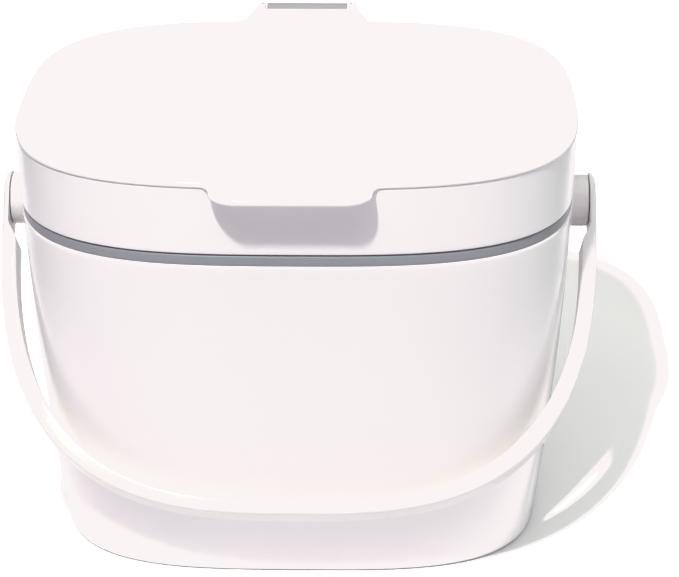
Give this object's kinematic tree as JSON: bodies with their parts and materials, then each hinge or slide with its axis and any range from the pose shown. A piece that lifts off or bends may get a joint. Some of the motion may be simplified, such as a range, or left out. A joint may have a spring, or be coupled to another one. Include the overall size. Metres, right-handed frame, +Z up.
{
  "type": "compost caddy",
  "caption": "Counter-top compost caddy: a tapered rounded bucket with a grey rim collar, a rear-hinged lid with a front finger lip, and a swinging bail handle.",
  "frame": {"origin": "centre of the bucket's flat underside, on the surface it stands on, and on the line midway between the two handle pivots", "axes": "+Z up, -Y towards the front (the side with the finger lip), +X towards the right-hand pivot as seen from the front"},
  "size_m": [0.2116, 0.1943, 0.1548],
  "materials": {
    "white_bucket": "glossy moulded plastic",
    "white_lid": "satin-gloss moulded plastic",
    "white_liner": "smooth easy-clean plastic",
    "white_handle": "glossy moulded plastic",
    "white_trim": "satin moulded plastic",
    "grey_collar": "satin grey plastic",
    "grey_seal": "soft matte elastomer",
    "pin_steel": "plain drawn rod"
  },
  "bodies": {
    "bin": {"bucket": "white_bucket", "rim_collar": "grey_collar", "hinge_bracket": "grey_collar", "pivot_hub_left": "white_trim", "pivot_hub_right": "white_trim"},
    "lid": {"lid_top": "white_lid", "lid_skirt": "white_lid", "lid_liner": "white_liner", "lid_gasket": "grey_seal", "hinge_pin": "pin_steel"},
    "handle": {"handle": "white_handle", "handle_pin_left": "white_trim", "handle_pin_right": "white_trim"}
  },
  "joints": [
    {"name": "lid_hinge", "type": "hinge", "parent": "bin", "child": "lid", "pos_m": [0, 0.0992, 0.15015], "axis": [-1, 0, 0], "range_deg": [0, 105]},
    {"name": "handle_swing", "type": "hinge", "parent": "bin", "child": "handle", "pos_m": [0, 0, 0.1145], "axis": [-1, 0, 0], "range_deg": [0, 272]}
  ]
}
